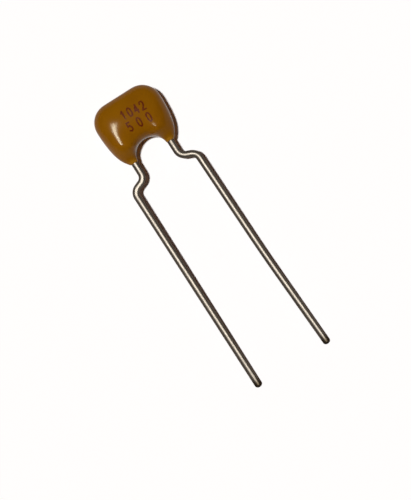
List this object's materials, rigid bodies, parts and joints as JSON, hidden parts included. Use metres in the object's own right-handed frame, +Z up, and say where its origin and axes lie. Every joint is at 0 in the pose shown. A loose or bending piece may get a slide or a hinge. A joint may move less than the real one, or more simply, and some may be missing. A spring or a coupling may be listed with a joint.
{
  "type": "multilayer ceramic capacitor",
  "caption": "Resin-dipped radial ceramic capacitor: a tooth-shaped ochre body on parallel tinned wires that are kinked outwards, lying flat.",
  "frame": {"origin": "middle of the footprint, on the surface that the part lies on", "axes": "+Y from the wire tips towards the coat, +X across the two wires to the right wire, +Z up"},
  "size_m": [0.0062, 0.022, 0.0028],
  "materials": {
    "resin_coat": "glossy dipped epoxy, ochre brown",
    "ceramic": "fired, matt",
    "electrode_metal": "fired nickel film",
    "end_cap_metal": "tin-plated, satin",
    "solder": "reflowed, satin",
    "tinned_wire": "bright tin over copper-clad steel"
  },
  "bodies": {
    "root": {"epoxy_coating": "resin_coat", "ceramic_chip": "ceramic", "electrode_01": "electrode_metal", "electrode_02": "electrode_metal", "electrode_03": "electrode_metal", "electrode_04": "electrode_metal", "electrode_05": "electrode_metal", "electrode_06": "electrode_metal", "electrode_07": "electrode_metal", "electrode_08": "electrode_metal", "electrode_09": "electrode_metal", "electrode_10": "electrode_metal", "electrode_11": "electrode_metal", "electrode_12": "electrode_metal", "electrode_13": "electrode_metal", "termination_left": "end_cap_metal", "termination_right": "end_cap_metal", "solder_left": "solder", "solder_right": "solder", "lead_left": "tinned_wire", "lead_right": "tinned_wire"}
  },
  "joints": []
}
